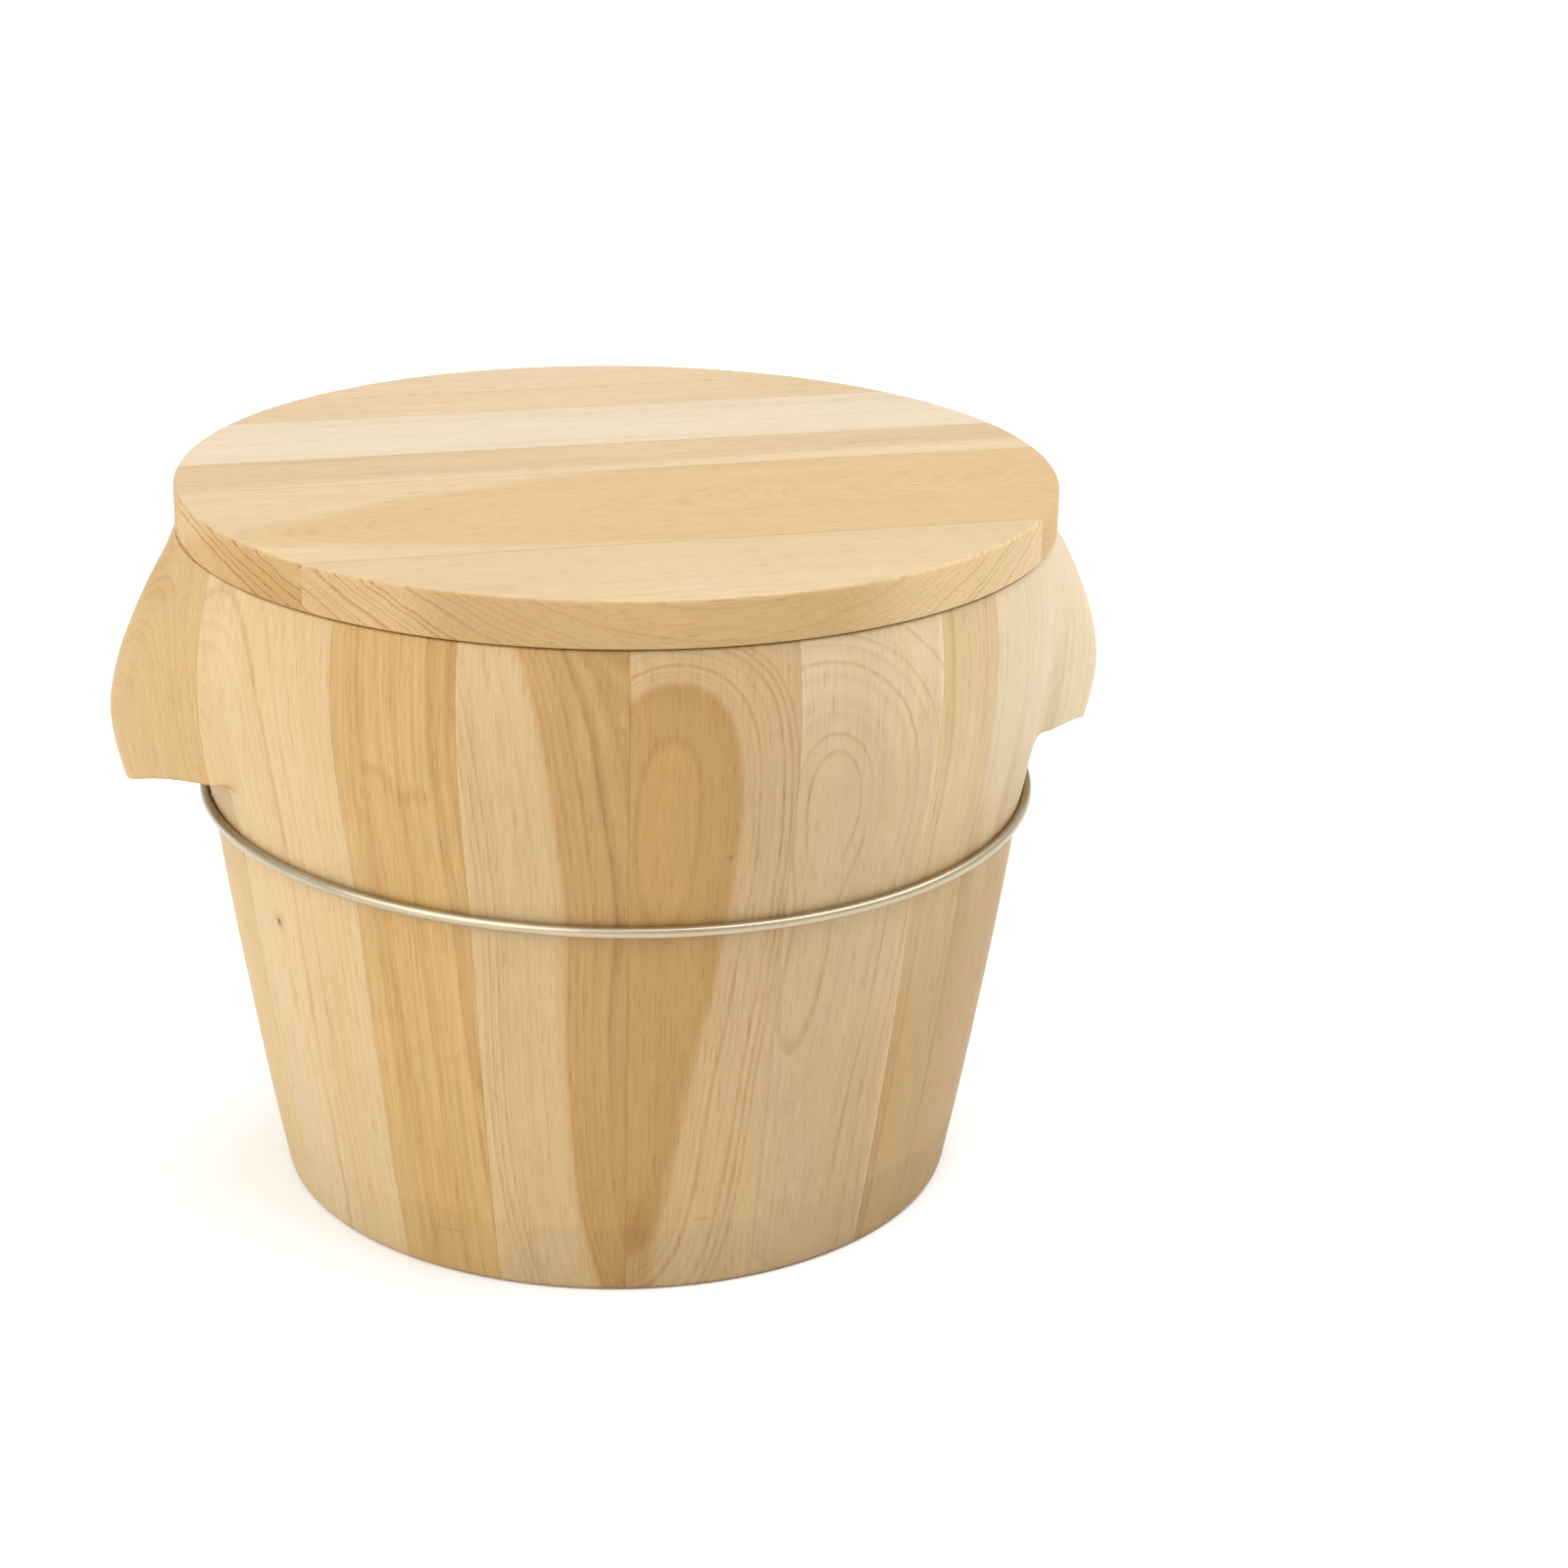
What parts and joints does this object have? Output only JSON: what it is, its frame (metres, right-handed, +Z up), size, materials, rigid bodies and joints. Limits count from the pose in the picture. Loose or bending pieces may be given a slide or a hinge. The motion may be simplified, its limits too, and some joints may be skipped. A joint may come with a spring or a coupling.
{
  "type": "wooden rice steamer",
  "caption": "Tapered stave-built wooden barrel for steaming rice, with carved ear handles, a steel wire hoop, a round plank lid that lifts off and a slatted grate inside.",
  "frame": {"origin": "centre of the foot, on the surface that the barrel stands on", "axes": "+Z up, along the barrel; +X towards the right ear handle, along the lid planks; -Y is the front"},
  "size_m": [0.3698, 0.3212, 0.2666],
  "materials": {
    "stave_wood": "planed pale hardwood, bare, satin",
    "lid_wood": "planed pale hardwood planks, bare, satin",
    "batten_wood": "planed pale hardwood, bare",
    "grate_wood": "planed pale hardwood slats, bare",
    "bamboo": "split bamboo, scraped round",
    "hoop_steel": "bright drawn steel wire"
  },
  "bodies": {
    "barrel": {"ear_stave_left": "stave_wood", "flank_stave_front_left": "stave_wood", "front_stave_1": "stave_wood", "front_stave_2": "stave_wood", "front_stave_3": "stave_wood", "front_stave_4": "stave_wood", "front_stave_5": "stave_wood", "flank_stave_front_right": "stave_wood", "ear_stave_right": "stave_wood", "flank_stave_back_right": "stave_wood", "back_stave_1": "stave_wood", "back_stave_2": "stave_wood", "back_stave_3": "stave_wood", "back_stave_4": "stave_wood", "back_stave_5": "stave_wood", "flank_stave_back_left": "stave_wood", "joint_pin_01": "bamboo", "joint_pin_02": "bamboo", "joint_pin_03": "bamboo", "joint_pin_04": "bamboo", "joint_pin_05": "bamboo", "joint_pin_06": "bamboo", "joint_pin_07": "bamboo", "joint_pin_08": "bamboo", "joint_pin_09": "bamboo", "joint_pin_10": "bamboo", "joint_pin_11": "bamboo", "joint_pin_12": "bamboo", "joint_pin_13": "bamboo", "joint_pin_14": "bamboo", "joint_pin_15": "bamboo", "joint_pin_16": "bamboo", "wire_hoop": "hoop_steel"},
    "lid": {"lid_plank_1": "lid_wood", "lid_plank_2": "lid_wood", "lid_plank_3": "lid_wood", "lid_plank_4": "lid_wood", "lid_plank_5": "lid_wood", "lid_batten_left": "batten_wood", "lid_batten_right": "batten_wood", "batten_peg_left_1": "bamboo", "batten_peg_left_2": "bamboo", "batten_peg_left_3": "bamboo", "batten_peg_left_4": "bamboo", "batten_peg_left_5": "bamboo", "batten_peg_right_1": "bamboo", "batten_peg_right_2": "bamboo", "batten_peg_right_3": "bamboo", "batten_peg_right_4": "bamboo", "batten_peg_right_5": "bamboo"},
    "steam_grate": {"grate_slat_1": "grate_wood", "grate_slat_2": "grate_wood", "grate_slat_3": "grate_wood", "grate_slat_4": "grate_wood", "grate_slat_5": "grate_wood", "grate_slat_6": "grate_wood", "grate_slat_7": "grate_wood", "grate_bearer_left": "grate_wood", "grate_bearer_right": "grate_wood"}
  },
  "joints": [
    {"name": "lid_lift", "type": "slide", "parent": "barrel", "child": "lid", "axis": [0, 0, 1], "range_m": [0, 0.25]},
    {"name": "grate_lift", "type": "slide", "parent": "barrel", "child": "steam_grate", "axis": [0, 0, 1], "range_m": [0, 0.17]}
  ]
}
